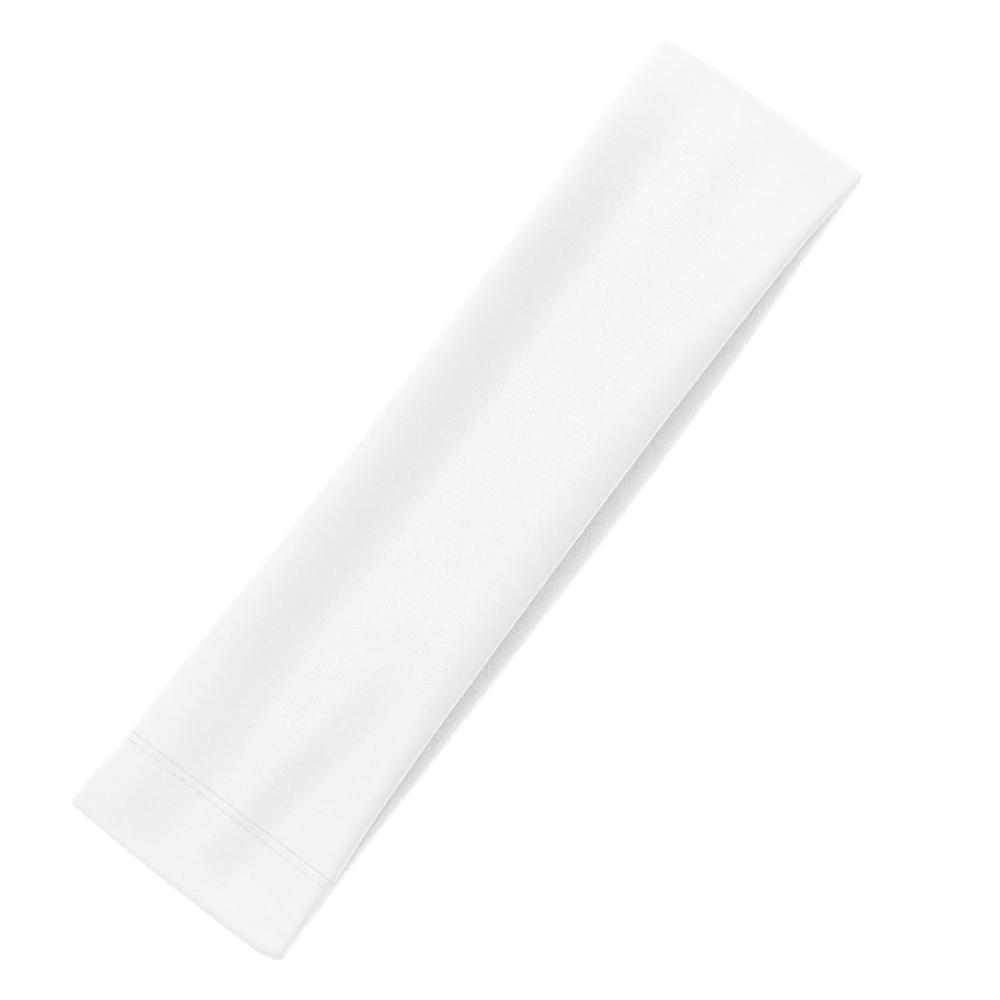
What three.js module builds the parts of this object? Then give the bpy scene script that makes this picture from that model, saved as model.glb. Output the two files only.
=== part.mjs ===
// Sports headband: a looped band of two knitted strips, lying flat on its side.
//
// Frame, in millimetres: +X along the band as it lies (from the fold near the
// cross seam to the plain fold), +Y across its width, +Z up.
// The origin is the centre of the footprint, on the surface the band lies on.
//
// Build: each strip is a ribbon swept round the flattened loop. A station is a
// point of the loop's outer line with its outward normal. At each station the
// strip has a cross-section in two coordinates: across the width (Y) and depth
// along the normal (0 at the outer face, negative towards the wearer).
// Both strips have their long edges turned in between them; needle threads lie
// in the groove of each edge and looper threads lie over the cut edges inside.
// The strips' ends meet at one cross seam.

import * as THREE from 'three';

// ---------------------------------------------------------------- dimensions
const LENGTH = 239.4;          // lying flat, fold to fold
const FOLD_R = 2.3;            // outer radius of the two folds
const PLY = 0.45;              // thickness of each strip's main sheet
const HEM = 0.35;              // thickness of a turned-in edge
const HEM_W = 5.0;             // width of a turned-in edge
const GAP = 0.12;              // clear space between sheet and turned-in edge
const HEM_GAP = 0.18;          // clear space between the two turned-in edges
const PLY_GAP = 0.15;          // clear space between the strips, mid width

const SEAM_X = -95.2;          // ditch of the cross seam
const SEAM_HALF = 0.3;         // half the clear space between the strips' ends
const STITCH_OFFSET = 2.1;     // stitch row, from the ditch towards the near fold
const STITCH_PITCH = 2.5;
const THREAD_R = 0.13;         // needle and bobbin threads
const LOOPER_R = 0.13;         // looper threads
const THREAD_LIFT = 0.3;       // axis of a surface thread, above the cloth
const CORNER_TUCK = 0.2;       // the long edges draw in this much round a fold

// long edges of the top layer and of the bottom layer, as [x, y]
const TOP_FAR = [[-119, 32.4], [-98, 30.55], [-79, 29.95], [-59, 29.1], [-40, 28.25], [-1, 27.7], [46, 27.95], [77, 28.6], [96, 29.6], [106, 30.1], [119, 30.2]];
const TOP_NEAR = [[-119, -32.6], [-98, -32.0], [-79, -30.7], [-59, -30.1], [-40, -29.7], [-1, -29.1], [46, -28.8], [77, -29.0], [96, -29.2], [106, -29.7], [119, -30.9]];
const BOT_FAR = [[-119, 31.6], [-98, 30.3], [-59, 29.3], [-1, 28.2], [46, 28.3], [96, 28.6], [119, 29.0]];
const BOT_NEAR = [[-119, -32.6], [-98, -32.4], [-79, -32.6], [-59, -32.95], [-40, -33.0], [-1, -33.4], [8, -33.55], [46, -33.15], [67, -32.6], [87, -31.65], [96, -31.15], [106, -30.9], [119, -30.6]];

// outer face of the top layer: its height along the middle, then three soft
// steps down towards the near edge, each with its depth, its place across the
// width and its half width, and the roll of the near edge, as [x, value]
const MIDDLE = [[-116.8, 4.6], [-110, 5.1], [-100, 6.3], [-83, 7.7], [-64, 9.0], [-45, 9.9], [0, 10.1], [40, 9.9], [70, 8.9], [90, 7.3], [105, 5.7], [112, 4.9], [116.8, 4.6]];
const FAR_STEP = [[-119, 0], [-114, 0.75], [-108, 1.25], [-98, 1.45], [-83, 2.05], [-59, 2.7], [-30, 3.3], [0, 3.4], [60, 3.3], [80, 2.85], [92, 2.3], [102, 1.45], [112, 0.7], [119, 0]];
const FAR_STEP_Y = [[-119, 15.5], [-105, 14.8], [-83, 12.8], [-59, 14.7], [0, 14.7], [39, 16.4], [73, 17.6], [100, 19.2], [119, 19.5]];
const LEFT_STEP = [[-119, 0], [-114, 0.3], [-104, 1.2], [-96, 1.5], [-83, 1.6], [-72, 1.35], [-59, 0.9], [-50, 0.5], [-40, 0.2], [-30, 0], [119, 0]];
const LEFT_STEP_Y = [[-119, -5.4], [-103, -7.2], [-83, -8.9], [-69, -11.2], [-59, -12.3], [-30, -13]];
const RIGHT_STEP = [[-119, 0], [40, 0], [55, 0.15], [74, 0.35], [98, 0.6], [110, 0.3], [117, 0]];
const NEAR_ROLL = [[-119, 2.0], [-98, 2.5], [-83, 3.5], [-59, 5], [-40, 9], [-1, 11.5], [46, 10], [70, 6.5], [88, 4], [100, 2.5], [119, 1.5]];

// depths of the stack at the long edges, from the outer face inwards
const D1 = PLY;                        // inside of the outer sheet
const D2 = D1 + GAP;                   // outer strip's turned-in edge
const D3 = D2 + HEM;
const D4 = D3 + HEM_GAP;               // lining's turned-in edge
const D5 = D4 + HEM;
const D6 = D5 + GAP;                   // lining's main sheet
const D7 = D6 + PLY;                   // skin side, at the edges
const MID = PLY + PLY_GAP + PLY;       // skin side, mid width

// ------------------------------------------------------------------- helpers
const smooth = (t) => { const u = Math.min(1, Math.max(0, t)); return u * u * (3 - 2 * u); };
const mix = (a, b, t) => a + (b - a) * t;

// smooth curve through [x, y] points
function along(points, x) {
  if (x <= points[0][0]) return points[0][1];
  const n = points.length;
  if (x >= points[n - 1][0]) return points[n - 1][1];
  let i = 0;
  while (x > points[i + 1][0]) i++;
  const slope = (k) => {
    if (k <= 0 || k >= n - 1) return 0;
    return (points[k + 1][1] - points[k - 1][1]) / (points[k + 1][0] - points[k - 1][0]);
  };
  const [x0, y0] = points[i];
  const [x1, y1] = points[i + 1];
  const h = x1 - x0;
  const t = (x - x0) / h;
  const t2 = t * t, t3 = t2 * t;
  return (2 * t3 - 3 * t2 + 1) * y0 + (t3 - 2 * t2 + t) * h * slope(i)
    + (-2 * t3 + 3 * t2) * y1 + (t3 - t2) * h * slope(i + 1);
}

const FOLD_X = LENGTH / 2 - FOLD_R;

// height of the top layer's outer face along the middle of the band
const archHeight = (x) => along(MIDDLE, x);

// relief of the top layer against that height. v runs from -1 at the near edge
// to 1 at the far edge.
function relief(x, v) {
  const near = along(TOP_NEAR, x);
  const far = along(TOP_FAR, x);
  const y = mix(near, far, (v + 1) / 2);
  const ends = smooth((LENGTH / 2 - Math.abs(x)) / 12);
  const rise = (c, h) => smooth((y - c + h) / (2 * h));
  let d = along(FAR_STEP, x) * rise(along(FAR_STEP_Y, x), mix(9.4, 8.6, smooth((x - 30) / 50)));
  d -= along(LEFT_STEP, x) * (1 - rise(along(LEFT_STEP_Y, x), 6.2));
  d -= along(RIGHT_STEP, x) * (1 - rise(-4.6, 6));
  const w = along(NEAR_ROLL, x);
  d -= ends * 0.17 * w * Math.pow(Math.max(0, (w - (y - near)) / w), 2.3);
  d -= ends * 0.2 * Math.pow(Math.max(0, (3.5 - (far - y)) / 3.5), 2);
  return d;
}

// ------------------------------------------------------------------ stations
// the outer line of the loop, from the cross seam along the top to the plain
// fold, back along the bottom, round the near fold and up to the seam again
function stations() {
  const list = [];
  const top = (x) => {
    const dz = (archHeight(x + 0.5) - archHeight(x - 0.5));
    const l = Math.hypot(1, dz);
    list.push({ x, z: archHeight(x), nx: -dz / l, nz: 1 / l, top: 1,
      near: along(TOP_NEAR, x), far: along(TOP_FAR, x) });
  };
  const bottom = (x) => list.push({ x, z: 0, nx: 0, nz: -1, top: 0,
    near: along(BOT_NEAR, x), far: along(BOT_FAR, x) });
  const fold = (sign, steps) => {
    for (let k = 1; k < steps; k++) {
      const a = Math.PI * (sign > 0 ? 0.5 - k / steps : -0.5 - k / steps);
      const x = sign * FOLD_X + FOLD_R * Math.cos(a);
      const t = (1 + Math.sin(a)) / 2;
      list.push({ x, z: FOLD_R + FOLD_R * Math.sin(a), nx: Math.cos(a), nz: Math.sin(a), top: smooth(t),
        near: mix(along(BOT_NEAR, x), along(TOP_NEAR, x), t) + CORNER_TUCK * Math.cos(a) * sign,
        far: mix(along(BOT_FAR, x), along(TOP_FAR, x), t) - CORNER_TUCK * Math.cos(a) * sign });
    }
  };
  for (const x of [SEAM_X + SEAM_HALF, -89, -78, -64, -48, -32, -16, 0, 16, 32, 48, 64, 78, 91, 103, FOLD_X]) top(x);
  fold(1, 7);
  for (const x of [FOLD_X, 98, 80, 55, 25, -5, -35, -65, -98, -FOLD_X]) bottom(x);
  fold(-1, 7);
  for (const x of [-FOLD_X, -105, SEAM_X - STITCH_OFFSET, SEAM_X - SEAM_HALF]) top(x);
  return list;
}
const LOOP = stations();

// across-the-width places of the main sheets, from near edge to far edge
const ACROSS = [-0.88, -0.76, -0.6, -0.42, -0.22, 0, 0.22, 0.38, 0.54, 0.7, 0.86];

// skin-side depth of the stack at v, with w the half width
function skinDepth(v, w) {
  const inFromEdge = (1 - Math.abs(v)) * w;
  return mix(D7, MID, smooth((inFromEdge - HEM_W - 1.4) / 5));
}

const yAt = (s, v) => mix(s.near, s.far, (v + 1) / 2);
const half = (s) => (s.far - s.near) / 2;
// where the two strips face each other, both have their points at the same places
const facing = (s) => [vIn(s, -1, 9.2), ...ACROSS.filter((v) => Math.abs(v) < 0.65), vIn(s, 1, 9.2)];
const vIn = (s, side, a) => side * (1 - a / half(s));        // v at distance a in from an edge
const lower = (s, v) => s.top * relief(s.x, v);

// cross-section of the outer strip: outer face, turned edge, inner face
function outerSection(s) {
  const p = [];
  const add = (v, n) => p.push([yAt(s, v), n + lower(s, v)]);
  const edgePts = (side, order) => {
    const q = [[1.3, -0.03], [0.45, -0.18], [0.06, -0.44], [0.12, -0.72], [0.6, -D3], [HEM_W, -D3], [HEM_W, -D2], [0.95, -D2], [0.95, -D1]];
    const r = order > 0 ? q : q.slice().reverse();
    for (const [a, n] of r) add(vIn(s, side, a), n);
  };
  for (const v of ACROSS) add(v, 0);
  edgePts(1, 1);
  add(vIn(s, 1, HEM_W + 0.8), -D1);
  for (const v of facing(s).reverse()) add(v, -D1);
  add(vIn(s, -1, HEM_W + 0.8), -D1);
  edgePts(-1, -1);
  return p;
}

// cross-section of the lining: upper face, turned edge, skin side
function innerSection(s) {
  const p = [];
  const w = half(s);
  const add = (v, n) => p.push([yAt(s, v), n + lower(s, v)]);
  const up = (v) => -(skinDepth(v, w) - PLY);
  const dn = (v) => -skinDepth(v, w);
  const edgePts = (side, order) => {
    const q = [[HEM_W + 0.8, -D6], [0.95, -D6], [0.95, -D5], [HEM_W, -D5], [HEM_W, -D4], [0.6, -D4], [0.12, -D7 + 0.72], [0.06, -D7 + 0.44], [0.45, -D7 + 0.18], [1.3, -D7 + 0.03]];
    const r = order > 0 ? q : q.slice().reverse();
    for (const [a, n] of r) add(vIn(s, side, a), n);
  };
  const wide = facing(s);
  for (const v of wide) add(v, up(v));
  edgePts(1, 1);
  for (const v of [vIn(s, 1, HEM_W + 1.4), ...wide.slice().reverse(), vIn(s, -1, HEM_W + 1.4)]) add(v, dn(v));
  edgePts(-1, -1);
  return p.reverse();
}

// the folds aren't quite straight: they draw in at the corners
function bow(x, v) {
  const far = Math.max(0, v);
  if (x < 0) return (1.0 * far ** 2 + 1.5 * Math.max(0, (-0.75 - v) / 0.25) ** 2) * smooth((-x - 102) / 14);
  return -(2.4 * (0.6 * far ** 2 + 0.4 * far ** 8) + 1.2 * Math.max(0, (-0.75 - v) / 0.25) ** 2) * smooth((x - 92) / 24);
}

// place a section point [y, n] at a station
function place(s, y, n) {
  const v = (2 * (y - s.near)) / (s.far - s.near) - 1;
  return [s.x + s.nx * n + bow(s.x, v), y, s.z + s.nz * n];
}

// closed body from a row of sections, capped at both ends
function sweep(rows, caps) {
  const m = rows[0].length;
  const n = rows.length;
  const pos = rows.flat(2);
  const idx = [];
  for (let i = 0; i < n - 1; i++) {
    const a = i * m, b = a + m;
    for (let k = 0; k < m; k++) {
      const l = (k + 1) % m;
      idx.push(a + k, b + k, b + l, a + k, b + l, a + l);
    }
  }
  for (const [a, b, c] of caps[0]) idx.push(a, b, c);
  for (const [a, b, c] of caps[1]) idx.push((n - 1) * m + a, (n - 1) * m + c, (n - 1) * m + b);
  const g = new THREE.BufferGeometry();
  g.setAttribute('position', new THREE.Float32BufferAttribute(pos, 3));
  g.setIndex(idx);
  let vol = 0;
  for (let i = 0; i < idx.length; i += 3) {
    const [p, q, r] = [idx[i], idx[i + 1], idx[i + 2]].map((j) => [pos[3 * j], pos[3 * j + 1], pos[3 * j + 2]]);
    vol += p[0] * (q[1] * r[2] - q[2] * r[1]) - p[1] * (q[0] * r[2] - q[2] * r[0]) + p[2] * (q[0] * r[1] - q[1] * r[0]);
  }
  if (vol < 0) {
    for (let i = 0; i < idx.length; i += 3) [idx[i + 1], idx[i + 2]] = [idx[i + 2], idx[i + 1]];
    g.setIndex(idx);
  }
  g.computeVertexNormals();
  return g;
}

// cap triangles of a flat section outline
function capOf(outline) {
  return THREE.ShapeUtils.triangulateShape(outline.map(([y, n]) => new THREE.Vector2(y, n)), []);
}

function strip(section) {
  const outlines = LOOP.map(section);
  const rows = outlines.map((o, i) => o.map(([y, n]) => place(LOOP[i], y, n)));
  const start = capOf(outlines[0]);
  const end = capOf(outlines[outlines.length - 1]);
  return sweep(rows, [matchCap(rows, start), matchCap(rows, end)]);
}

// a cap is wound so that each of its boundary edges runs against the wall's
function matchCap(rows, tris) {
  const m = rows[0].length;
  // a wall's edge on the first row runs from point k + 1 to k, so the cap's runs
  // from k to k + 1; sweep() turns the last row's cap over
  const has = new Set();
  for (const [a, b, c] of tris) { has.add(a * m + b); has.add(b * m + c); has.add(c * m + a); }
  return has.has(1) ? tris : tris.map(([a, b, c]) => [a, c, b]);
}

// thread that runs along the band at distance a in from an edge, at depth n
function lengthThread(side, a, n, r, sides) {
  const rows = LOOP.map((s) => {
    const v = vIn(s, side, a);
    const row = [];
    for (let k = 0; k < sides; k++) {
      const t = (2 * Math.PI * (k + 0.5)) / sides;
      row.push(place(s, yAt(s, v) + r * Math.cos(t), n + lower(s, v) + r * Math.sin(t)));
    }
    return row;
  });
  const fan = [];
  for (let k = 1; k < sides - 1; k++) fan.push([0, k, k + 1]);
  return sweep(rows, [matchCap(rows, fan), matchCap(rows, fan)]);
}

// height of the outer face, or depth of the skin side, at station s and place y
function faceDepth(s, y, skin) {
  const v = ((y - s.near) / (s.far - s.near)) * 2 - 1;
  if (skin) return lower(s, v) - skinDepth(v, half(s));
  const face = ACROSS.map((k) => [yAt(s, k), lower(s, k)]);
  for (let i = 0; i + 1 < face.length; i++) {
    const [a, b] = [face[i], face[i + 1]];
    if (y >= a[0] && y <= b[0]) return mix(a[1], b[1], (y - a[0]) / (b[0] - a[0]));
  }
  return lower(s, v);
}

// thread across the width, outside (up = 1) or on the skin side (up = -1)
function crossThread(x, up, skin, y0, y1, stitched, r, sides, drop) {
  const dz = archHeight(x + 0.5) - archHeight(x - 0.5);
  const l = Math.hypot(1, dz);
  const s = { x, z: archHeight(x), nx: -dz / l, nz: 1 / l, top: 1, near: along(TOP_NEAR, x), far: along(TOP_FAR, x) };
  const centres = [];
  const count = Math.round((y1 - y0) / STITCH_PITCH);
  const pitch = (y1 - y0) / count;
  if (stitched) {
    for (let i = 0; i < count; i++) {
      const y = y0 + i * pitch;
      centres.push([y, 0], [y + 0.3 * pitch, 0.1], [y + 0.7 * pitch, 0.1]);
    }
    centres.push([y1, 0]);
  } else {
    for (let i = 0; i <= 24; i++) centres.push([mix(y0, y1, i / 24), 0]);
  }
  const rows = centres.map(([y, h]) => {
    const base = drop !== undefined ? lower(s, ((y - s.near) / (s.far - s.near)) * 2 - 1) - drop
      : faceDepth(s, y, skin) + up * (THREAD_LIFT + h);
    const row = [];
    for (let k = 0; k < sides; k++) {
      const t = (2 * Math.PI * (k + 0.5)) / sides;
      const c = place(s, y, base + r * Math.sin(t));
      row.push([c[0] + r * Math.cos(t) * s.nz, c[1], c[2] - r * Math.cos(t) * s.nx]);
    }
    return row;
  });
  const fan = [];
  for (let k = 1; k < sides - 1; k++) fan.push([0, k, k + 1]);
  return sweep(rows, [matchCap(rows, fan), matchCap(rows, fan)]);
}

// ------------------------------------------------------------------ assembly
const band = new THREE.Group();
band.name = 'sports_headband';

function cloth(name, geometry, color, roughness) {
  const mesh = new THREE.Mesh(geometry, new THREE.MeshStandardMaterial({ color, roughness, metalness: 0 }));
  mesh.name = name;
  band.add(mesh);
  return mesh;
}

cloth('outer_panel', strip(outerSection), 0xf4f4f4, 0.92);
cloth('inner_panel', strip(innerSection), 0xeeeeee, 0.96);

const SEAM_DEPTH = D3 + HEM_GAP / 2;
for (const [edge, side] of [['far', 1], ['near', -1]]) {
  cloth(`${edge}_seam_needle_thread`, lengthThread(side, 0.1, -SEAM_DEPTH, 0.11, 4), 0xf0f0ee, 0.7);
  cloth(`${edge}_seam_upper_looper_thread`, lengthThread(side, HEM_W + 0.45, -(SEAM_DEPTH - 0.21), LOOPER_R, 4), 0xf0f0ee, 0.75);
  cloth(`${edge}_seam_lower_looper_thread`, lengthThread(side, HEM_W + 0.45, -(SEAM_DEPTH + 0.21), LOOPER_R, 4), 0xf0f0ee, 0.75);
}

const seamNear = along(TOP_NEAR, SEAM_X) + 1.2;
const seamFar = along(TOP_FAR, SEAM_X) - 1.2;
cloth('cross_seam_joining_thread', crossThread(SEAM_X, 1, false, seamNear + 0.4, seamFar - 0.4, false, 0.11, 4, D1 + GAP / 2), 0xf0f0ee, 0.7);
cloth('cross_seam_topstitch_thread', crossThread(SEAM_X - STITCH_OFFSET, 1, false, seamNear, seamFar, true, THREAD_R, 4), 0xf2f2f0, 0.65);
cloth('cross_seam_bobbin_thread', crossThread(SEAM_X - STITCH_OFFSET, -1, true, seamNear, seamFar, true, THREAD_R, 4), 0xf2f2f0, 0.65);

// footprint centred on the origin, lowest point on z = 0
const box = new THREE.Box3().setFromObject(band);
const shift = [-(box.min.x + box.max.x) / 2, -(box.min.y + box.max.y) / 2, -box.min.z];
for (const mesh of band.children) mesh.geometry.translate(...shift);

export default band;
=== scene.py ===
import math

import bpy
import numpy as np
from mathutils import Matrix, Vector


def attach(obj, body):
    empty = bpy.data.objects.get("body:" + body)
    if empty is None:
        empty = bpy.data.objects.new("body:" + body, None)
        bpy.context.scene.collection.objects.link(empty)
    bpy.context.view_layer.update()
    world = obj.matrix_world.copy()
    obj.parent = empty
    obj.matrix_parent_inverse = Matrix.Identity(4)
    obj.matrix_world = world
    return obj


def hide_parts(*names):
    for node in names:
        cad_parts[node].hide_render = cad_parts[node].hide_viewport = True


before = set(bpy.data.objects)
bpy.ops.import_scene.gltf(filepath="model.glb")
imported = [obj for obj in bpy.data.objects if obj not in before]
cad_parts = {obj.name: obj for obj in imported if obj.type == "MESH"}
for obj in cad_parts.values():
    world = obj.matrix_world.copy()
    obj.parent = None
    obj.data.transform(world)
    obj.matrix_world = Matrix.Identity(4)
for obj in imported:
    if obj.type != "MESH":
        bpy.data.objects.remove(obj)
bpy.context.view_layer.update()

# A knitted headband lying flat. Everything below is in millimetres until make_mixed, which
# writes metres. The loop's outer line, its edges and its relief follow the same rules as
# the design model, with finer stations, seams and stitches on top.

# ------------------------------------------------------------------ dimensions
LENGTH = 239.4
FOLD_R = 2.3
PLY, HEM, HEM_W, GAP, HEM_GAP, PLY_GAP = 0.45, 0.35, 5.0, 0.12, 0.18, 0.15
SEAM_X = -95.2
SEAM_OPEN = 0.12        # half the room between the strips' ends, below the surface
STITCH_OFFSET = 2.1
STITCH_PITCH = 2.5
CORNER_TUCK = 0.2
SHIFT = np.array([0.0, 0.52260, 0.0])      # design frame: footprint centred on the origin

TOP_FAR = [[-119, 32.4], [-98, 30.55], [-79, 29.95], [-59, 29.1], [-40, 28.25], [-1, 27.7], [46, 27.95], [77, 28.6], [96, 29.6], [106, 30.1], [119, 30.2]]
TOP_NEAR = [[-119, -32.6], [-98, -32.0], [-79, -30.7], [-59, -30.1], [-40, -29.7], [-1, -29.1], [46, -28.8], [77, -29.0], [96, -29.2], [106, -29.7], [119, -30.9]]
BOT_FAR = [[-119, 31.6], [-98, 30.3], [-59, 29.3], [-1, 28.2], [46, 28.3], [96, 28.6], [119, 29.0]]
BOT_NEAR = [[-119, -32.6], [-98, -32.4], [-79, -32.6], [-59, -32.95], [-40, -33.0], [-1, -33.4], [8, -33.55], [46, -33.15], [67, -32.6], [87, -31.65], [96, -31.15], [106, -30.9], [119, -30.6]]

# outer face of the top layer: its height along the middle, then three soft steps down
# towards the near edge, and the roll of the near edge, as [x, value]
MIDDLE = [[-116.8, 4.6], [-110, 5.1], [-100, 6.3], [-83, 7.7], [-64, 9.0], [-45, 9.9], [0, 10.1], [40, 9.9], [70, 8.9], [90, 7.3], [105, 5.7], [112, 4.9], [116.8, 4.6]]
FAR_STEP = [[-119, 0], [-114, 0.75], [-108, 1.25], [-98, 1.45], [-83, 2.05], [-59, 2.7], [-30, 3.3], [0, 3.4], [60, 3.3], [80, 2.85], [92, 2.3], [102, 1.45], [112, 0.7], [119, 0]]
FAR_STEP_Y = [[-119, 15.5], [-105, 14.8], [-83, 12.8], [-59, 14.7], [0, 14.7], [39, 16.4], [73, 17.6], [100, 19.2], [119, 19.5]]
LEFT_STEP = [[-119, 0], [-114, 0.3], [-104, 1.2], [-96, 1.5], [-83, 1.6], [-72, 1.35], [-59, 0.9], [-50, 0.5], [-40, 0.2], [-30, 0], [119, 0]]
LEFT_STEP_Y = [[-119, -5.4], [-103, -7.2], [-83, -8.9], [-69, -11.2], [-59, -12.3], [-30, -13]]
RIGHT_STEP = [[-119, 0], [40, 0], [55, 0.15], [74, 0.35], [98, 0.6], [110, 0.3], [117, 0]]
NEAR_ROLL = [[-119, 2.0], [-98, 2.5], [-83, 3.5], [-59, 5], [-40, 9], [-1, 11.5], [46, 10], [70, 6.5], [88, 4], [100, 2.5], [119, 1.5]]

D1 = PLY
D2 = D1 + GAP
D3 = D2 + HEM
D4 = D3 + HEM_GAP
D5 = D4 + HEM
D6 = D5 + GAP
D7 = D6 + PLY
MID = PLY + PLY_GAP + PLY


# --------------------------------------------------------------------- helpers
def sm(t):
    u = np.clip(t, 0.0, 1.0)
    return u * u * (3 - 2 * u)


def mix(a, b, t):
    return a + (b - a) * t


def along(points, x):
    p = np.array(points, float)
    xs, ys = p[:, 0], p[:, 1]
    m = np.zeros(len(xs))
    m[1:-1] = (ys[2:] - ys[:-2]) / (xs[2:] - xs[:-2])
    x = np.clip(np.asarray(x, float), xs[0], xs[-1])
    i = np.clip(np.searchsorted(xs, x, side="right") - 1, 0, len(xs) - 2)
    h = xs[i + 1] - xs[i]
    t = (x - xs[i]) / h
    t2, t3 = t * t, t * t * t
    return (2 * t3 - 3 * t2 + 1) * ys[i] + (t3 - 2 * t2 + t) * h * m[i] + (-2 * t3 + 3 * t2) * ys[i + 1] + (t3 - t2) * h * m[i + 1]


FOLD_X = LENGTH / 2 - FOLD_R


def arch(x):
    return along(MIDDLE, x)


_rng = np.random.default_rng(47)
_WAVES = [(_rng.uniform(16, 60), _rng.uniform(0, 2 * math.pi), _rng.uniform(0, 2 * math.pi)) for _ in range(26)]
_FINE = [(_rng.uniform(5, 12), _rng.uniform(0, 2 * math.pi), _rng.uniform(0, 2 * math.pi)) for _ in range(24)]


def ripple(s, y, waves, power=1.0):
    out = np.zeros(np.broadcast(s, y).shape)
    for lam, ang, ph in waves:
        k = 2 * math.pi / lam
        out = out + (lam / 30.0) ** power * np.cos(k * (s * math.cos(ang) + y * math.sin(ang)) + ph)
    return out / math.sqrt(len(waves))


def relief(x, v):
    """The top layer's large relief in mm, over (x, v); v is -1 at the near edge, 1 at the far edge."""
    near, far = along(TOP_NEAR, x), along(TOP_FAR, x)
    y = mix(near, far, (v + 1) / 2)
    ends = sm((LENGTH / 2 - np.abs(x)) / 12)

    def rise(c, h):
        return sm((y - c + h) / (2 * h))

    d = along(FAR_STEP, x) * rise(along(FAR_STEP_Y, x), mix(9.4, 8.6, sm((x - 30) / 50)))
    d = d - along(LEFT_STEP, x) * (1 - rise(along(LEFT_STEP_Y, x), 6.2))
    d = d - along(RIGHT_STEP, x) * (1 - rise(-4.6, 6))
    w = along(NEAR_ROLL, x)
    d = d - ends * 0.17 * w * np.maximum(0, (w - (y - near)) / w) ** 2.3
    d = d - ends * 0.06 * np.maximum(0, (3.5 - (far - y)) / 3.5) ** 2
    return d


def bow(x, v):
    far = np.maximum(0, v)
    near = np.maximum(0, (-0.75 - v) / 0.25) ** 2
    a = (1.0 * far ** 2 + 1.5 * near) * sm((-x - 102) / 14)
    b = -(2.4 * (0.6 * far ** 2 + 0.4 * far ** 8) + 1.2 * near) * sm((x - 92) / 24)
    return np.where(x < 0, a, b)


# -------------------------------------------------------------------- stations
def spaced(a, b, step):
    n = max(1, int(math.ceil(abs(b - a) / step)))
    return list(np.linspace(a, b, n + 1))


class Loop:
    """Stations round the loop: outer line (x, z), outward normal, edges, and arc length."""

    def __init__(self, gap):
        st = []

        def top(x):
            dz = float(arch(x + 0.5) - arch(x - 0.5))
            l = math.hypot(1, dz)
            st.append((x, float(arch(x)), -dz / l, 1 / l, 1.0, float(along(TOP_NEAR, x)), float(along(TOP_FAR, x))))

        def bottom(x):
            st.append((x, 0.0, 0.0, -1.0, 0.0, float(along(BOT_NEAR, x)), float(along(BOT_FAR, x))))

        def fold(sign, steps):
            for k in range(1, steps):
                a = math.pi * (0.5 - k / steps if sign > 0 else -0.5 - k / steps)
                x = sign * FOLD_X + FOLD_R * math.cos(a)
                t = (1 + math.sin(a)) / 2
                tuck = CORNER_TUCK * math.cos(a) * sign
                st.append((x, FOLD_R + FOLD_R * math.sin(a), math.cos(a), math.sin(a), float(sm(t)),
                           float(mix(along(BOT_NEAR, x), along(TOP_NEAR, x), t)) + tuck,
                           float(mix(along(BOT_FAR, x), along(TOP_FAR, x), t)) - tuck))

        near_seam = spaced(SEAM_X + gap, SEAM_X + 0.5, 0.05)[:-1] + spaced(SEAM_X + 0.5, SEAM_X + 1.6, 0.12)
        for x in near_seam[:-1] + spaced(SEAM_X + 1.6, SEAM_X + 4, 0.4)[:-1] + spaced(SEAM_X + 4, FOLD_X, 1.15):
            top(x)
        fold(1, 22)
        for x in spaced(FOLD_X, -FOLD_X, 1.25):
            bottom(x)
        fold(-1, 22)
        for x in spaced(-FOLD_X, SEAM_X - 7, 0.9)[:-1] + spaced(SEAM_X - 7, SEAM_X - 1.5, 0.25)[:-1] + spaced(SEAM_X - 1.5, SEAM_X - 0.5, 0.1)[:-1] + spaced(SEAM_X - 0.5, SEAM_X - gap, 0.05):
            top(x)
        a = np.array(st)
        self.x, self.z, self.nx, self.nz, self.top, self.near, self.far = a.T
        d = np.hypot(np.diff(self.x), np.diff(self.z))
        self.s = np.concatenate([[0], np.cumsum(d)])
        self.half = (self.far - self.near) / 2
        self.n = len(a)


def skin_depth(v, w):
    return mix(D7, MID, sm(((1 - np.abs(v)) * w - HEM_W - 1.4) / 5))


def stitch_wave(y, y0, y1):
    """1 at each needle hole of the topstitch row, 0 between, with the row's own pitch."""
    count = round((y1 - y0) / STITCH_PITCH)
    p = (y1 - y0) / count
    ph = (y - y0) / p
    return np.where((ph > -0.5) & (ph < count + 0.5), np.abs(ph - np.round(ph)) * p, 9.0)


ROW_NEAR = float(along(TOP_NEAR, SEAM_X)) + 1.2
ROW_FAR = float(along(TOP_FAR, SEAM_X)) - 1.2


def seam_relief(x, y, top):
    """Height of the cross seam's own relief on the outer face, in mm."""
    xi = x - SEAM_X
    bulk = 0.05 * sm((xi + 11.0) / 9.0)
    roll = -0.07 * sm((xi + 0.75) / 0.75) ** 1.3
    left = bulk + roll
    right = -0.02 * np.exp(-np.maximum(0, xi) / 0.55)
    h = np.where(xi < 0.0, left, right)
    row = np.abs(xi + STITCH_OFFSET)
    hole = stitch_wave(y, ROW_NEAR, ROW_FAR)
    h = h - 0.06 * np.exp(-(row / 0.36) ** 2 - (hole / 0.36) ** 2)
    puff = np.cos(2 * math.pi * np.minimum(hole, STITCH_PITCH) / STITCH_PITCH)
    h = h - 0.014 * puff * np.exp(-((xi + 1.2) / 0.8) ** 2)
    h = h - 0.012 * puff * np.exp(-((xi + 3.4) / 1.0) ** 2)
    return h * top


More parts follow.
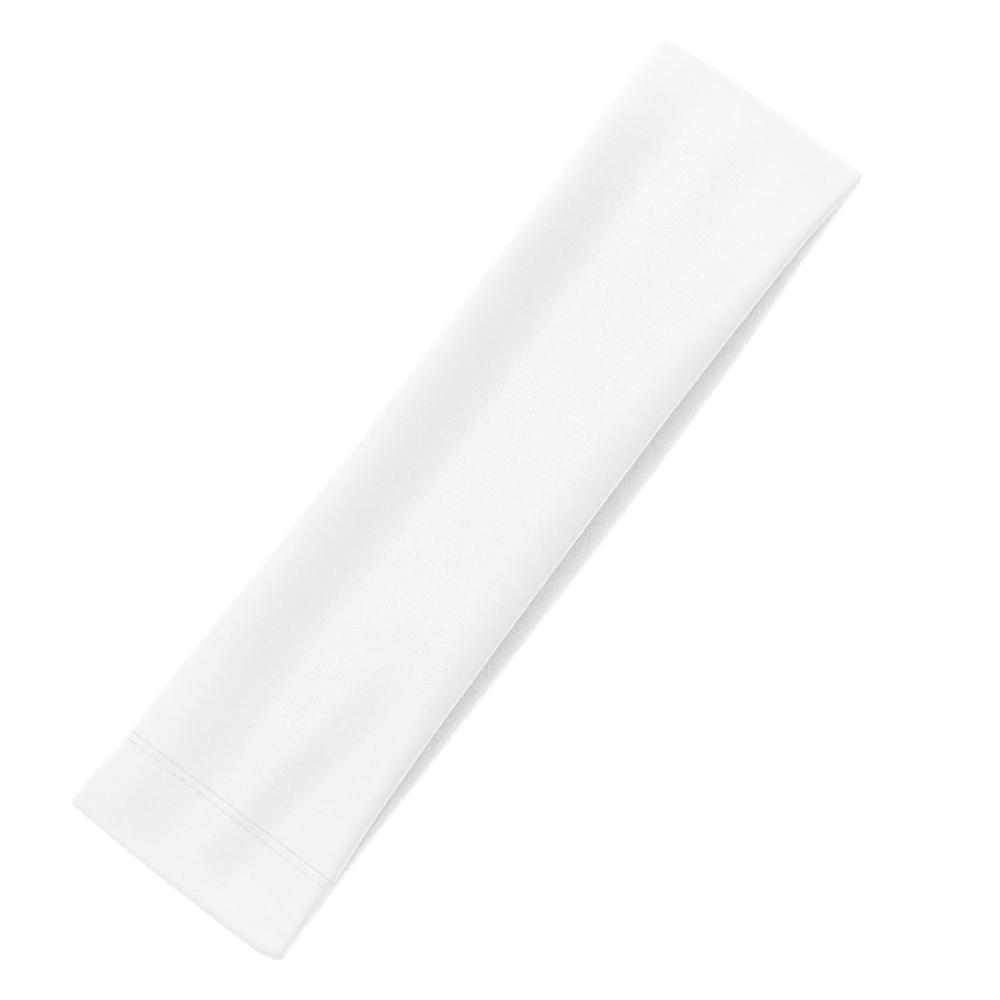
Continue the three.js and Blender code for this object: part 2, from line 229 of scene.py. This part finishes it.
def edge_pucker(s, a):
    """Small puckers along a long edge, a mm in from it."""
    ph = 0.9 * np.sin(s / 17.0) + 0.7 * np.sin(s / 7.3 + 1.0)
    return 0.012 * np.exp(-np.maximum(0, a) / 1.6) * np.cos(2 * math.pi * s / 2.6 + ph)


def outer_height(loop, i, v):
    """Displacement of the outer face along the normal, at stations i and places v."""
    x, s, top, w = loop.x[i], loop.s[i], loop.top[i], loop.half[i]
    y = mix(loop.near[i], loop.far[i], (v + 1) / 2)
    a = (1 - np.abs(v)) * w
    h = top * relief(x, v)
    h = h + seam_relief(x, y, np.where(top > 0.99, 1.0, 0.0))
    calm = sm((a - 1.0) / 6)
    ends = sm((LENGTH / 2 - np.abs(x)) / 10)
    h = h + top * 0.05 * ripple(s, y, _WAVES) * calm * ends
    h = h + (0.3 + 0.7 * top) * 0.006 * ripple(s, y, _FINE) * calm
    h = h + edge_pucker(s + 30 * np.sign(v), a) * (0.25 + 0.75 * top)
    # the turned-in edge shows as a soft ridge that fades where it stops
    h = h + top * (0.05 * sm(a / 1.5) * (1 - sm((a - HEM_W + 1.5) / 3.5)))
    return h


# ------------------------------------------------------------------- mesh tools
def signed_volume(verts, faces):
    a, b, c = verts[faces[:, 0]], verts[faces[:, 1]], verts[faces[:, 2]]
    v = np.einsum("ij,ij->i", a, np.cross(b, c)).sum()
    if faces.shape[1] == 4:
        d = verts[faces[:, 3]]
        v += np.einsum("ij,ij->i", a, np.cross(c, d)).sum()
    return v / 6


def curve_pts(pts, steps):
    """Catmull-Rom through pts, steps pieces between each two."""
    p = np.array(pts, float)
    p = np.vstack([2 * p[0] - p[1], p, 2 * p[-1] - p[-2]])
    out = []
    for j in range(1, len(p) - 2):
        for t in np.linspace(0, 1, steps, endpoint=False):
            a, b, c, d = p[j - 1], p[j], p[j + 1], p[j + 2]
            out.append(0.5 * (2 * b + (c - a) * t + (2 * a - 5 * b + 4 * c - d) * t * t + (3 * b - a - 3 * c + d) * t ** 3))
    out.append(p[-2])
    return np.array(out)


# ------------------------------------------------------------------- the strips
NV = 150        # points across the outer face
NI = 56         # points across a hidden face


def section_points(kind):
    """Section as a list of (mode, value, depth): mode 'v' is a share of the width between the
    edge zones, 'n'/'f' a distance in from the near or far edge. Pairs give the end caps."""
    pts = []
    if kind == "outer":
        edge = curve_pts([[1.3, -0.01], [0.34, -0.10], [0.03, -0.40], [0.1, -0.72], [0.5, -D3 + 0.02], [1.1, -D3]], 4)[1:]
        hem_lo = [[a, -D3] for a in np.linspace(1.8, HEM_W - 0.1, 6)]
        hem_tip = [[HEM_W, -D3 + 0.09], [HEM_W, -D2 - 0.09]]
        hem_up = [[a, -D2] for a in np.linspace(HEM_W - 0.1, 1.1, 6)]
        inner = [[0.85, -D2 + 0.02], [0.85, -D1 - 0.02]]
        wall = [list(r) for r in edge] + hem_lo + hem_tip + hem_up + inner
        for q in np.linspace(0, 1, NV):
            pts.append(("v", q, 0.0))
        pts += [("f", a, d) for a, d in wall]
        for q in np.linspace(1, 0, NI):
            pts.append(("v", q, -D1))
        pts += [("n", a, d) for a, d in wall[::-1]]
        return pts
    edge = curve_pts([[1.1, -D4], [0.5, -D4 - 0.02], [0.1, -D7 + 0.72], [0.03, -D7 + 0.44], [0.42, -D7 + 0.15], [1.3, -D7 + 0.02]], 4)[:-1]
    hem_up = [[a, -D4] for a in np.linspace(HEM_W - 0.1, 1.6, 6)]
    hem_tip = [[HEM_W, -D5 + 0.09], [HEM_W, -D4 - 0.09]]
    hem_lo = [[a, -D5] for a in np.linspace(1.1, HEM_W - 0.1, 6)]
    inner = [[0.85, -D6 + 0.02], [0.85, -D5 - 0.02]]
    wall = inner + hem_lo + hem_tip + hem_up + [list(r) for r in edge]
    for q in np.linspace(0, 1, NI):
        pts.append(("v", q, "up"))
    pts += [("f", a, d) for a, d in wall]
    for q in np.linspace(1, 0, NV):
        pts.append(("v", q, "skin"))
    pts += [("n", a, d) for a, d in wall[::-1]]
    return pts


def skin_extra(loop, i, v):
    """Relief of the skin side alone, added to the depth: the coarse lining's own soft puckers."""
    x, s, top, w = loop.x[i], loop.s[i], loop.top[i], loop.half[i]
    y = mix(loop.near[i], loop.far[i], (v + 1) / 2)
    a = (1 - np.abs(v)) * w
    xi = x - SEAM_X
    flat = np.where(top > 0.99, 1.0, 0.0)
    h = 0.02 * ripple(s + 90, y, _FINE) * sm(a / 4)
    bulk = -0.12 * sm((xi + 9.0) / 6.0) * np.where(xi < 0.0, 1.0, np.exp(-np.maximum(0, xi) / 0.5))
    groove = 0.1 * np.exp(-(xi / 0.45) ** 2)
    row = 0.03 * np.exp(-((xi + STITCH_OFFSET) / 0.5) ** 2)
    return h + flat * (bulk + groove + row)


def cap_rows(kind, nw):
    """The section's points by part: the two wide faces from near to far, and the two edge walls."""
    first, second = (NV, NI) if kind == "outer" else (NI, NV)
    total = first + second + 2 * nw
    fa = list(range(first))                                     # near to far
    se = list(range(first + nw, first + nw + second))[::-1]      # near to far
    wf = list(range(first, first + nw))                          # far edge wall
    wn = list(range(first + nw + second, total))[::-1]               # near edge wall, same order as far
    return fa, se, wf, wn


def ladder(a, b):
    """Triangles and quads between two point rows of different counts, as triangles."""
    tris = []
    i = j = 0
    na, nb = len(a) - 1, len(b) - 1
    while i < na or j < nb:
        if j >= nb or (i < na and (i + 1) / na <= (j + 1) / nb):
            tris.append((a[i], a[i + 1], b[j]))
            i += 1
        else:
            tris.append((a[i], b[j + 1], b[j]))
            j += 1
    return tris


def sweep_grid(P, U=None, V=None, pairs=None, fan=False):
    """Closed body from rows P[i, k, 3], quads along it and triangles over its two ends."""
    n, m = P.shape[:2]
    verts = P.reshape(-1, 3)
    i = np.arange(n - 1)[:, None]
    k = np.arange(m)[None, :]
    l = (k + 1) % m
    quads = np.stack([i * m + k, (i + 1) * m + k, (i + 1) * m + l, i * m + l], -1).reshape(-1, 4)
    uvs = None
    if U is not None:
        Vw = np.concatenate([V, [2 * V[-1] - V[-2]]])
        u0, u1 = U[:-1, None] + 0 * k, U[1:, None] + 0 * k
        v0, v1 = np.broadcast_to(Vw[:-1], (n - 1, m)), np.broadcast_to(Vw[1:], (n - 1, m))
        uvs = np.stack([np.stack([u0, v0], -1), np.stack([u1, v0], -1), np.stack([u1, v1], -1), np.stack([u0, v1], -1)], -2).reshape(-1, 4, 2)
    tris = []
    if fan:
        tris = [(0, a, a + 1) for a in range(1, m - 1)]
    elif pairs:
        fa, se, wf, wn = pairs
        tris = ladder(fa, se)
        for rail, side in ((wf, 1), (wn, -1)):
            loop_pts = rail
            h = len(loop_pts) // 2
            one, two = loop_pts[:h + 1], loop_pts[h:][::-1]
            hit = (fa[-1], se[-1]) if side > 0 else (fa[0], se[0])
            quad = ladder([hit[0]] + one, [hit[1]] + two)
            tris += quad if side > 0 else [(a, c, b) for a, b, c in quad]
    tris = np.array([t for t in tris if len(set(t)) == 3], np.int64)
    # wind the first cap against the walls: a wall's edge on row 0 runs from k + 1 to k
    has = {(int(a), int(b)) for t in tris for a, b in ((t[0], t[1]), (t[1], t[2]), (t[2], t[0]))}
    if (0, 1) not in has:
        tris = tris[:, ::-1]
    last = tris[:, ::-1] + (n - 1) * m
    caps = np.concatenate([tris, last])
    flip = signed_volume(verts, quads) + signed_volume(verts, caps) < 0
    if flip:
        quads = quads[:, ::-1]
        caps = caps[:, ::-1]
        uvs = None if uvs is None else uvs[:, ::-1]
    cap_uv = None
    if U is not None:
        cap_uv = np.zeros((len(caps), 3, 2))
        cap_uv[..., 1] = V[caps % m]
        cap_uv[..., 0] = np.where(caps < m, U[0], U[-1])
    return verts, quads, uvs, caps, cap_uv


def make_mixed(name, verts, quads, quv, tris, tuv, smooth=True):
    me = bpy.data.meshes.new(name)
    co = (np.asarray(verts, float) + SHIFT) / 1000.0
    me.vertices.add(len(co))
    me.vertices.foreach_set("co", co.astype(np.float32).ravel())
    idx = np.concatenate([quads.ravel(), tris.ravel()]).astype(np.int32)
    tot = np.concatenate([np.full(len(quads), 4), np.full(len(tris), 3)]).astype(np.int32)
    me.loops.add(len(idx))
    me.loops.foreach_set("vertex_index", idx)
    me.polygons.add(len(tot))
    me.polygons.foreach_set("loop_start", np.concatenate([[0], np.cumsum(tot)[:-1]]).astype(np.int32))
    me.polygons.foreach_set("loop_total", tot)
    if quv is not None:
        layer = me.uv_layers.new(name="UVMap")
        layer.data.foreach_set("uv", np.concatenate([quv.reshape(-1, 2), tuv.reshape(-1, 2)]).astype(np.float32).ravel())
    me.update(calc_edges=True)
    me.polygons.foreach_set("use_smooth", np.full(len(me.polygons), smooth))
    ob = bpy.data.objects.new(name, me)
    bpy.context.scene.collection.objects.link(ob)
    return ob


def strip_object(name, kind, loop):
    pts = section_points(kind)
    m = len(pts)
    n = loop.n
    i = np.arange(n)[:, None]
    v = np.zeros((n, m))
    dep = np.zeros((n, m))
    for k, (mode, val, d) in enumerate(pts):
        if mode == "v":
            v[:, k] = mix(-1 + 1.3 / loop.half, 1 - 1.3 / loop.half, val)
        else:
            v[:, k] = (1 if mode == "f" else -1) * (1 - val / loop.half)
        if isinstance(d, str):
            dep[:, k] = -skin_depth(v[:, k], loop.half) + (PLY if d == "up" else 0.0)
        else:
            dep[:, k] = d
    h = outer_height(loop, i, v)
    y = mix(loop.near[:, None], loop.far[:, None], (v + 1) / 2)
    flat = np.where(loop.top[:, None] > 0.99, 1.0, 0.0)
    seam = seam_relief(loop.x[:, None] + 0 * v, y, flat)
    if kind == "outer":
        # the seam's step is at the surface; the hidden faces follow it without the stitch holes
        hidden = np.array([p[2] != 0.0 for p in pts])[None, :]
        h = np.where(hidden, h - np.maximum(0, seam) * 0.4, h)
    else:
        h = h - seam
        skin = np.array([p[2] == "skin" for p in pts])[None, :]
        extra = skin_extra(loop, i, v)
        h = h + np.where(skin, extra, np.minimum(0, extra))
    hgt = dep + h
    # at the cross seam the strips' ends meet at the surface and stand apart below it
    xi = loop.x[:, None] - SEAM_X
    if kind == "outer":
        back = sm(-dep / 0.4)
    else:
        back = sm((dep + skin_depth(v, loop.half[:, None])) / 0.4)
    x = loop.x[:, None] + flat * np.sign(xi) * back * (SEAM_OPEN - 0.002) * np.exp(-np.abs(xi) / 0.7)
    P = np.stack([x + loop.nx[:, None] * hgt + bow(loop.x[:, None] + 0 * v, v), y, loop.z[:, None] + loop.nz[:, None] * hgt], -1)
    step = np.linalg.norm(np.diff(P[n // 4], axis=0), axis=1)
    V = np.concatenate([[0], np.cumsum(step)]) * 0.01
    nw = (m - NV - NI) // 2
    verts, quads, quv, tris, tuv = sweep_grid(P, loop.s * 0.01, V, cap_rows(kind, nw))
    return make_mixed(name, verts, quads, quv, tris, tuv)


LOOP = Loop(0.002)
outer = strip_object("outer_panel_knit", "outer", LOOP)
inner = strip_object("inner_panel_knit", "inner", LOOP)


# ------------------------------------------------------------------ the threads
def tube_rows(centres, e1, e2, r, sides, phase=0.0):
    """Ring of points round each centre, in the plane of e1 and e2."""
    t = 2 * np.pi * (np.arange(sides) + 0.5) / sides
    ring = np.cos(t)[None, :, None] * e1[:, None, :] + np.sin(t)[None, :, None] * e2[:, None, :]
    return centres[:, None, :] + r * ring


def merge(parts):
    vs, qs, qu, ts, tu = [], [], [], [], []
    off = 0
    for verts, quads, quv, tris, tuv in parts:
        vs.append(verts); qs.append(quads + off); ts.append(tris + off)
        qu.append(quv); tu.append(tuv)
        off += len(verts)
    return np.concatenate(vs), np.concatenate(qs), np.concatenate(qu), np.concatenate(ts), np.concatenate(tu)


def frames(c):
    """Unit tangents along a polyline."""
    t = np.gradient(c, axis=0)
    t /= np.linalg.norm(t, axis=1)[:, None]
    return t


def twisted(c, ref, r, strand_r, pitch, sides, strands=2):
    """Plied thread along c: strands wound round the centre line at the given pitch."""
    t = frames(c)
    e2 = ref - (ref * t).sum(1)[:, None] * t
    e2 /= np.linalg.norm(e2, axis=1)[:, None]
    e1 = np.cross(t, e2)
    s = np.concatenate([[0], np.cumsum(np.linalg.norm(np.diff(c, axis=0), axis=1))])
    parts = []
    for j in range(strands):
        a = 2 * np.pi * (s / pitch + j / strands)
        cc = c + r * (np.cos(a)[:, None] * e1 + np.sin(a)[:, None] * e2)
        tt = frames(cc)
        f2 = e2 - (e2 * tt).sum(1)[:, None] * tt
        f2 /= np.linalg.norm(f2, axis=1)[:, None]
        f1 = np.cross(tt, f2)
        rows = tube_rows(cc, f1, f2, strand_r, sides)
        U = s * 0.01
        V = np.arange(sides) * (2 * np.pi * strand_r / sides) * 0.01
        parts.append(sweep_grid(rows, U, V, fan=True))
    return merge(parts)


def resample(c, step):
    s = np.concatenate([[0], np.cumsum(np.linalg.norm(np.diff(c, axis=0), axis=1))])
    n = max(8, int(s[-1] / step))
    u = np.linspace(0, s[-1], n)
    return np.stack([np.interp(u, s, c[:, k]) for k in range(3)], 1)


class TopPlace:
    """Places on the top layer at one x: like a loop with a single station."""

    def __init__(self, x):
        dz = float(arch(x + 0.5) - arch(x - 0.5))
        l = math.hypot(1, dz)
        self.x = np.array([x])
        self.z = np.array([float(arch(x))])
        self.nx = np.array([-dz / l])
        self.nz = np.array([1 / l])
        self.top = np.array([1.0])
        self.near = np.array([float(along(TOP_NEAR, x))])
        self.far = np.array([float(along(TOP_FAR, x))])
        self.half = (self.far - self.near) / 2
        dx = x - SEAM_X
        self.s = np.array([LOOP.s[-1] + dx if dx < 0 else dx])


def cross_line(x, y, lift, skin=False):
    """Points at height lift over the outer face (or under the skin side) along y at station x."""
    p = TopPlace(x)
    v = 2 * (y - p.near[0]) / (p.far[0] - p.near[0]) - 1
    h = outer_height(p, 0, v)
    if skin:
        h = h - seam_relief(p.x[0] + 0 * y, y, 1.0) + skin_extra(p, 0, v) - skin_depth(v, p.half[0])
    h = h + lift
    return np.stack([p.x[0] + p.nx[0] * h, y, p.z[0] + p.nz[0] * h], 1)


def stitch_row(name, skin, r=0.038, strand=0.048, jitter=7):
    """The topstitch row: each stitch comes up through its hole, lies on the cloth and goes down again."""
    rng = np.random.default_rng(jitter)
    count = round((ROW_FAR - ROW_NEAR) / STITCH_PITCH)
    pitch = (ROW_FAR - ROW_NEAR) / count
    sign = -1 if skin else 1
    ys, hs, dx = [], [], []
    for j in range(count):
        y0 = ROW_NEAR + j * pitch
        side = rng.normal(0, 0.03)
        up = rng.normal(0, 0.012)
        for t, hh in ((0.0, -0.62), (0.035, -0.40), (0.085, -0.12), (0.15, 0.01), (0.28, 0.05), (0.5, 0.06), (0.72, 0.05), (0.85, 0.01), (0.915, -0.12), (0.965, -0.40)):
            ys.append(y0 + t * pitch)
            hs.append(hh + (up if 0.1 < t < 0.9 else 0))
            dx.append(side * math.sin(math.pi * t))
    ys.append(ROW_FAR); hs.append(-0.62); dx.append(0.0)
    ys, hs, dx = np.array(ys), np.array(hs), np.array(dx)
    # the cloth is dimpled at the holes, so the lift is taken from the stitches' middles
    mid = cross_line(SEAM_X - STITCH_OFFSET, ys[5::10], 0.0, skin)
    flat_z = np.interp(ys, mid[:, 1], mid[:, 2])
    c = np.stack([np.full(len(ys), SEAM_X - STITCH_OFFSET) + dx, ys, flat_z + sign * hs], 1)
    c = curve_pts(c, 3)
    c = resample(c, 0.085)
    ref = np.tile(np.array([1.0, 0.0, 0.0]), (len(c), 1))
    verts, quads, quv, tris, tuv = twisted(c, ref, r, strand, 0.62, 6)
    return make_mixed(name, verts, quads, quv, tris, tuv)


topstitch = stitch_row("cross_seam_topstitch", False)
bobbin = stitch_row("cross_seam_bobbin", True, jitter=11)


def joining():
    y = np.arange(ROW_NEAR + 0.4, ROW_FAR - 0.4, 0.12)
    p = TopPlace(SEAM_X)
    v = 2 * (y - p.near[0]) / (p.far[0] - p.near[0]) - 1
    base = p.top * relief(p.x[0], v)
    z = p.z[0] + base - (D1 + GAP / 2) + 0.03 * np.cos(2 * np.pi * y / 2.2)
    c = np.stack([np.full(len(y), SEAM_X), y, z], 1)
    ref = np.tile(np.array([1.0, 0.0, 0.0]), (len(c), 1))
    verts, quads, quv, tris, tuv = twisted(c, ref, 0.045, 0.05, 0.7, 5)
    return make_mixed("cross_seam_joining", verts, quads, quv, tris, tuv)


join = joining()


def edge_thread(name, side, a, depth, amp_a, amp_d, pitch, r, strand, phase, step=0.32):
    """A thread along a long edge that weaves by amp_a across and amp_d in depth."""
    lp = LOOP
    s = np.arange(lp.s[0] + 1.0, lp.s[-1] - 1.0, step)
    g = {k: np.interp(s, lp.s, getattr(lp, k)) for k in ("x", "z", "nx", "nz", "top", "near", "far", "half")}
    ll = np.hypot(g["nx"], g["nz"])
    g["nx"], g["nz"] = g["nx"] / ll, g["nz"] / ll
    ph = 2 * np.pi * s / pitch + phase
    aa = a + amp_a * np.cos(ph)
    v = side * (1 - aa / g["half"])
    h = g["top"] * relief(g["x"], v) + depth + amp_d * np.cos(2 * ph)
    y = mix(g["near"], g["far"], (v + 1) / 2)
    c = np.stack([g["x"] + g["nx"] * h + bow(g["x"], v), y, g["z"] + g["nz"] * h], 1)
    ref = np.stack([g["nx"], 0 * s, g["nz"]], 1)
    verts, quads, quv, tris, tuv = twisted(c, ref, r, strand, 0.9, 5)
    return make_mixed(name, verts, quads, quv, tris, tuv)


threads = {}
for edge, side in (("far", 1), ("near", -1)):
    mid = -(D3 + HEM_GAP / 2)
    threads[f"{edge}_seam_needle_thread"] = edge_thread(f"{edge}_seam_needle", side, 0.12, mid, 0.03, 0.015, 2.6, 0.03, 0.04, 0.3)
    threads[f"{edge}_seam_upper_looper_thread"] = edge_thread(f"{edge}_seam_upper_looper", side, HEM_W + 0.42, mid + 0.21, 0.12, 0.02, 2.6, 0.04, 0.05, 0.0, 0.4)
    threads[f"{edge}_seam_lower_looper_thread"] = edge_thread(f"{edge}_seam_lower_looper", side, HEM_W + 0.42, mid - 0.21, 0.12, 0.02, 2.6, 0.04, 0.05, math.pi, 0.4)


# -------------------------------------------------------------------- materials
class Nodes:
    def __init__(self, name):
        self.mat = bpy.data.materials.new(name)
        self.mat.use_nodes = True
        self.t = self.mat.node_tree
        self.bsdf = self.t.nodes["Principled BSDF"]

    def math(self, op, a, b=None, c=None):
        n = self.t.nodes.new("ShaderNodeMath")
        n.operation = op
        for i, v in enumerate((a, b, c)):
            if v is None:
                continue
            if isinstance(v, (int, float)):
                n.inputs[i].default_value = v
            else:
                self.t.links.new(v, n.inputs[i])
        return n.outputs[0]

    def uv(self):
        n = self.t.nodes.new("ShaderNodeUVMap")
        n.uv_map = "UVMap"
        s = self.t.nodes.new("ShaderNodeSeparateXYZ")
        self.t.links.new(n.outputs[0], s.inputs[0])
        return n.outputs[0], s.outputs[0], s.outputs[1]

    def noise(self, vec, scale, detail=3.0, rough=0.5, scale_vec=None):
        if scale_vec is not None:
            m = self.t.nodes.new("ShaderNodeMapping")
            m.inputs["Scale"].default_value = scale_vec
            self.t.links.new(vec, m.inputs["Vector"])
            vec = m.outputs[0]
        n = self.t.nodes.new("ShaderNodeTexNoise")
        n.inputs["Scale"].default_value = scale
        n.inputs["Detail"].default_value = detail
        n.inputs["Roughness"].default_value = rough
        self.t.links.new(vec, n.inputs["Vector"])
        return n.outputs["Fac"]

    def ramp(self, fac, lo, hi, p0=0.0, p1=1.0):
        n = self.t.nodes.new("ShaderNodeValToRGB")
        n.color_ramp.elements[0].position = p0
        n.color_ramp.elements[1].position = p1
        n.color_ramp.elements[0].color = (*lo, 1)
        n.color_ramp.elements[1].color = (*hi, 1)
        self.t.links.new(fac, n.inputs[0])
        return n.outputs[0]

    def bump(self, height, strength, distance, normal=None):
        n = self.t.nodes.new("ShaderNodeBump")
        n.inputs["Strength"].default_value = strength
        n.inputs["Distance"].default_value = distance
        self.t.links.new(height, n.inputs["Height"])
        if normal is not None:
            self.t.links.new(normal, n.inputs["Normal"])
        return n.outputs[0]


def knit_material(name, wale, course, lo, hi, depth, rough, sheen, fuzz, under):
    """Weft knit: columns of V stitches. UV is in units of 100 mm; wale and course are in mm."""
    m = Nodes(name)
    vec, u, v = m.uv()
    wob = m.math("MULTIPLY", m.math("SUBTRACT", m.noise(vec, 9.0, 2.0), 0.5), 0.010)
    uu = m.math("ADD", m.math("MULTIPLY", u, 100.0 / wale), m.math("MULTIPLY", wob, 100.0 / wale))
    vv = m.math("MULTIPLY", v, 100.0 / course)
    f = m.math("FRACT", uu)
    leg = m.math("ABSOLUTE", m.math("SUBTRACT", f, 0.5))                 # 0 at the wale's middle, 0.5 at its sides
    slant = m.math("ADD", vv, m.math("MULTIPLY", leg, 1.5))
    yarn = m.math("ABSOLUTE", m.math("SINE", m.math("MULTIPLY", slant, math.pi)))
    yarn = m.math("POWER", yarn, 0.7)
    leg_round = m.math("SINE", m.math("MULTIPLY", m.math("FRACT", m.math("MULTIPLY", leg, 2.0)), math.pi))
    leg_round = m.math("POWER", m.math("MAXIMUM", leg_round, 0.0), 0.6)
    height = m.math("MULTIPLY", yarn, m.math("ADD", m.math("MULTIPLY", leg_round, 0.75), 0.25))
    fibre = m.noise(vec, 900.0, 3.0, 0.6, (1.0, 0.55, 1.0))
    height = m.math("ADD", height, m.math("MULTIPLY", fibre, 0.35))
    # base colour: painted shade, darker in the grooves between the yarns (from the yarn height), mixed with random
    # tone from the coarse noise
    groove_shade_and_tone = m.math("ADD", m.math("MULTIPLY", height, 0.55), m.math("MULTIPLY", m.noise(vec, 1.3, 3.0), 0.45))
    col = m.ramp(groove_shade_and_tone, lo, hi, 0.15, 0.85)
    m.t.links.new(col, m.bsdf.inputs["Base Color"])
    rr = m.math("ADD", m.math("MULTIPLY", fibre, 0.10), rough)
    m.t.links.new(rr, m.bsdf.inputs["Roughness"])
    pill = m.noise(vec, 130.0, 4.0, 0.65)
    nrm = m.bump(pill, 0.25, 0.00008)
    nrm = m.bump(height, 1.0, depth, nrm)
    m.t.links.new(nrm, m.bsdf.inputs["Normal"])
    m.bsdf.inputs["Specular IOR Level"].default_value = 0.15
    m.bsdf.inputs["Sheen Weight"].default_value = sheen
    m.bsdf.inputs["Sheen Roughness"].default_value = fuzz
    m.bsdf.inputs["Sheen Tint"].default_value = (1, 1, 1, 1)
    m.bsdf.inputs["Subsurface Weight"].default_value = under
    m.bsdf.inputs["Subsurface Radius"].default_value = (1.0, 1.0, 1.0)
    m.bsdf.inputs["Subsurface Scale"].default_value = 0.00025
    return m.mat


def thread_material(name, col, rough, sheen):
    m = Nodes(name)
    vec, u, v = m.uv()
    twist = m.math("SINE", m.math("MULTIPLY", m.math("ADD", m.math("MULTIPLY", u, 700.0), m.math("MULTIPLY", v, 900.0)), 2 * math.pi))
    fibre = m.noise(vec, 1500.0, 3.0, 0.6)
    h = m.math("ADD", m.math("MULTIPLY", twist, 0.3), fibre)
    c = m.ramp(fibre, tuple(0.93 * k for k in col), col, 0.2, 0.8)
    m.t.links.new(c, m.bsdf.inputs["Base Color"])
    m.t.links.new(m.math("ADD", m.math("MULTIPLY", fibre, 0.12), rough), m.bsdf.inputs["Roughness"])
    m.t.links.new(m.bump(h, 0.5, 0.00002), m.bsdf.inputs["Normal"])
    m.bsdf.inputs["Sheen Weight"].default_value = sheen
    m.bsdf.inputs["Sheen Roughness"].default_value = 0.4
    m.bsdf.inputs["Specular IOR Level"].default_value = 0.35
    return m.mat


face_knit = knit_material("face_knit_white", 0.62, 0.46, (0.88, 0.88, 0.88), (0.93, 0.93, 0.93), 0.00004, 0.85, 0.04, 0.5, 0.6)
# the lining is painted lighter than the face knit of the same white cloth: a painted fill for the shade inside the
# loop
lining_knit = knit_material("lining_knit_white", 0.95, 0.72, (0.92, 0.92, 0.92), (0.96, 0.96, 0.96), 0.00009, 0.88, 0.04, 0.5, 0.6)
seam_thread = thread_material("seam_thread_white", (0.90, 0.90, 0.895), 0.55, 0.08)
edge_thread_mat = thread_material("edge_thread_white", (0.89, 0.89, 0.885), 0.6, 0.08)

pieces = [(outer, "outer_panel", face_knit, "face_knit"), (inner, "inner_panel", lining_knit, "lining_knit"),
          (topstitch, "cross_seam_topstitch_thread", seam_thread, "seam_thread"),
          (bobbin, "cross_seam_bobbin_thread", seam_thread, "seam_thread"),
          (join, "cross_seam_joining_thread", seam_thread, "seam_thread")]
pieces += [(ob, node, edge_thread_mat, "edge_thread") for node, ob in threads.items()]
for ob, node, mat, slot in pieces:
    ob.data.materials.append(mat)
    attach(ob, "root")
    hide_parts(node)

# ------------------------------------------------------------------------ stage
FLOOR_GLOW = 0.3


def floor_material():
    m = Nodes("floor_white")
    g = m.t.nodes.new("ShaderNodeTexCoord")
    f = m.noise(g.outputs["Object"], 3.0, 4.0)
    c = m.ramp(f, (0.93, 0.93, 0.93), (0.95, 0.95, 0.95))
    m.t.links.new(c, m.bsdf.inputs["Base Color"])
    m.bsdf.inputs["Roughness"].default_value = 0.9
    m.bsdf.inputs["Specular IOR Level"].default_value = 0.1
    m.bsdf.inputs["Emission Color"].default_value = (1, 1, 1, 1)
    m.bsdf.inputs["Emission Strength"].default_value = FLOOR_GLOW
    return m.mat


fm = bpy.data.meshes.new("floor")
fm.from_pydata([(-8, -8, 0), (8, -8, 0), (8, 8, 0), (-8, 8, 0)], [], [(0, 1, 2, 3)])
floor = bpy.data.objects.new("floor", fm)
floor.location.z = -0.00002
bpy.context.scene.collection.objects.link(floor)
fm.materials.append(floor_material())

# ----------------------------------------------------------- camera and lights
ELEV = math.radians(80.0)
ROLL = math.radians(52.88)
DIST = 2.0
MM_PER_PX = 0.2425
centre = Vector((0.0, 0.00052, 0.0))
X = Vector((1, 0, 0))
back = Vector((0, -math.cos(ELEV), math.sin(ELEV)))
U = Vector((0, math.sin(ELEV), math.cos(ELEV)))
right = math.cos(ROLL) * X - math.sin(ROLL) * U
up = math.sin(ROLL) * X + math.cos(ROLL) * U
aim = centre + right * (30.0 * MM_PER_PX / 1000) - up * (7.05 * MM_PER_PX / 1000)
cam_data = bpy.data.cameras.new("camera")
cam_data.sensor_width = 36
cam_data.lens = 36 * DIST / (MM_PER_PX)
cam_data.clip_start = 0.05
cam_data.clip_end = 60
cam = bpy.data.objects.new("camera", cam_data)
rot = Matrix((right, up, back)).transposed()
cam.matrix_world = Matrix.Translation(aim + back * DIST) @ rot.to_4x4()
bpy.context.scene.collection.objects.link(cam)
bpy.context.scene.camera = cam


def area_light(name, direction, dist, size, power):
    d = Vector(direction).normalized()
    data = bpy.data.lights.new(name, "AREA")
    data.shape = "DISK"
    data.size = size
    data.energy = power
    ob = bpy.data.objects.new(name, data)
    ob.location = d * dist
    ob.rotation_euler = d.to_track_quat("Z", "Y").to_euler()
    ob.visible_camera = False
    bpy.context.scene.collection.objects.link(ob)
    return ob


area_light("key_light", (0.30, 0.86, 0.42), 3.5, 1.6, 54.5)
# a weak fill for the lining alone, which lies in the shade of the open loop
fill = area_light("loop_fill_light", (-0.1, -0.55, 0.8), 3.0, 2.0, 16.0)
shaded = bpy.data.collections.new("loop_fill_receivers")
shaded.objects.link(inner)
fill.light_linking.receiver_collection = shaded

world = bpy.data.worlds.new("studio")
world.use_nodes = True
bg = world.node_tree.nodes["Background"]
bg.inputs["Color"].default_value = (1, 1, 1, 1)
bg.inputs["Strength"].default_value = 0.86
bpy.context.scene.world = world
bpy.context.scene.view_settings.view_transform = "Standard"
bpy.context.scene.view_settings.look = "None"
bpy.context.scene.view_settings.exposure = 0.0
bpy.context.scene.view_settings.gamma = 1.0
